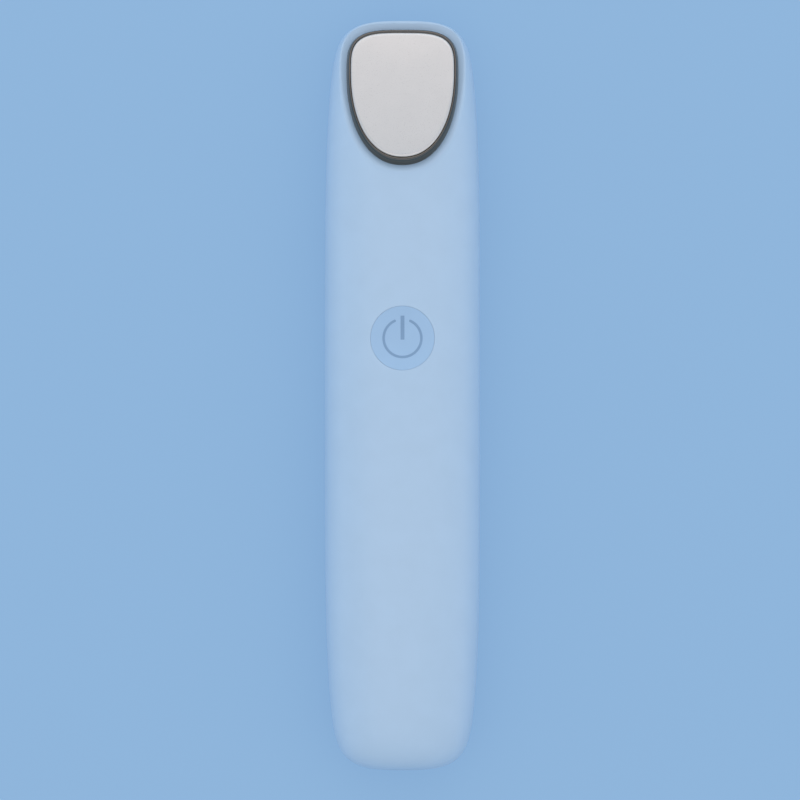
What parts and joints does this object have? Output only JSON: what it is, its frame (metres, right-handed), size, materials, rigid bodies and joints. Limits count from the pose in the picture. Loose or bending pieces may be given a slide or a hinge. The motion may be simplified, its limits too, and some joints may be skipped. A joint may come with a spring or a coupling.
{
  "type": "heated eye massager wand",
  "caption": "Slim two-shell massager wand with a slanted heated plate at its head, a dished power button on the front and a charging port in its foot.",
  "frame": {"origin": "under the middle of the wand's length, on the surface its flat back rests on", "axes": "+Y towards the head, +Z out of the front face, +X to the right of the front view"},
  "size_m": [0.0274, 0.132, 0.0196],
  "materials": {
    "housing": "satin moulded ABS",
    "button": "satin moulded ABS",
    "mark": "satin inlaid ABS",
    "rim": "black chrome plating",
    "plate": "satin stainless steel",
    "film": "polyimide film",
    "bead": "glass-coated bead",
    "sponge": "closed-cell sponge",
    "frame_plastic": "moulded ABS",
    "screws": "zinc-plated steel",
    "motor_metal": "drawn steel",
    "bush": "sintered bronze",
    "soft_rubber": "silicone rubber",
    "copper": "enamelled copper winding",
    "tungsten": "sintered tungsten",
    "board": "solder mask on glass-epoxy",
    "black_parts": "moulded epoxy",
    "ivory_plastic": "moulded nylon",
    "solder": "bright solder",
    "passives": "ceramic",
    "pouch": "laminated foil",
    "tape": "polyimide tape",
    "port_metal": "nickel-plated steel",
    "lead_jacket": "silicone insulation"
  },
  "bodies": {
    "housing": {"front_shell": "housing", "rear_shell": "housing", "plate_rim": "rim", "heat_plate": "plate", "heater_film": "film", "thermistor": "bead", "sponge_pad": "sponge", "head_bracket": "frame_plastic", "bracket_screws": "screws", "motor_can": "motor_metal", "motor_end_cap": "frame_plastic", "motor_bush": "bush", "motor_magnet": "black_parts", "motor_boot": "soft_rubber", "motor_strap": "frame_plastic", "strap_screws": "screws", "main_board": "board", "board_screws": "screws", "switch_base": "black_parts", "switch_legs": "solder", "button_leds": "ivory_plastic", "board_chips": "black_parts", "board_passives": "passives", "solder_joints": "solder", "battery_socket": "ivory_plastic", "battery_plug": "ivory_plastic", "battery_cell": "pouch", "protection_board": "board", "battery_tape": "tape", "battery_pads": "sponge", "chassis": "frame_plastic", "chassis_screws": "screws", "charge_board": "board", "charge_screws": "screws", "port_shell": "port_metal", "port_tongue": "black_parts", "motor_leads": "lead_jacket", "heater_leads": "lead_jacket", "thermistor_leads": "lead_jacket", "battery_leads": "lead_jacket", "charge_leads": "lead_jacket"},
    "button": {"button_cap": "button", "power_mark": "mark"},
    "plunger": {"switch_plunger": "ivory_plastic"},
    "motor_rotor": {"motor_shaft": "motor_metal", "motor_armature": "copper", "motor_weight": "tungsten"}
  },
  "joints": [
    {"name": "button_press", "type": "slide", "parent": "housing", "child": "button", "axis": [0, 0, -1], "range_m": [0, 0.0004], "stiffness_N_per_m": 1500, "springref_m": -0.0003},
    {"name": "plunger_press", "type": "slide", "parent": "housing", "child": "plunger", "axis": [0, 0, -1], "range_m": [0, 0.0004]},
    {"name": "motor_spin", "type": "hinge", "parent": "housing", "child": "motor_rotor", "pos_m": [0, 0.0409, 0.007], "axis": [0, 1, 0], "continuous": true}
  ],
  "couplings": [
    {"joint": "plunger_press", "follows": "button_press", "ratio": 1}
  ]
}
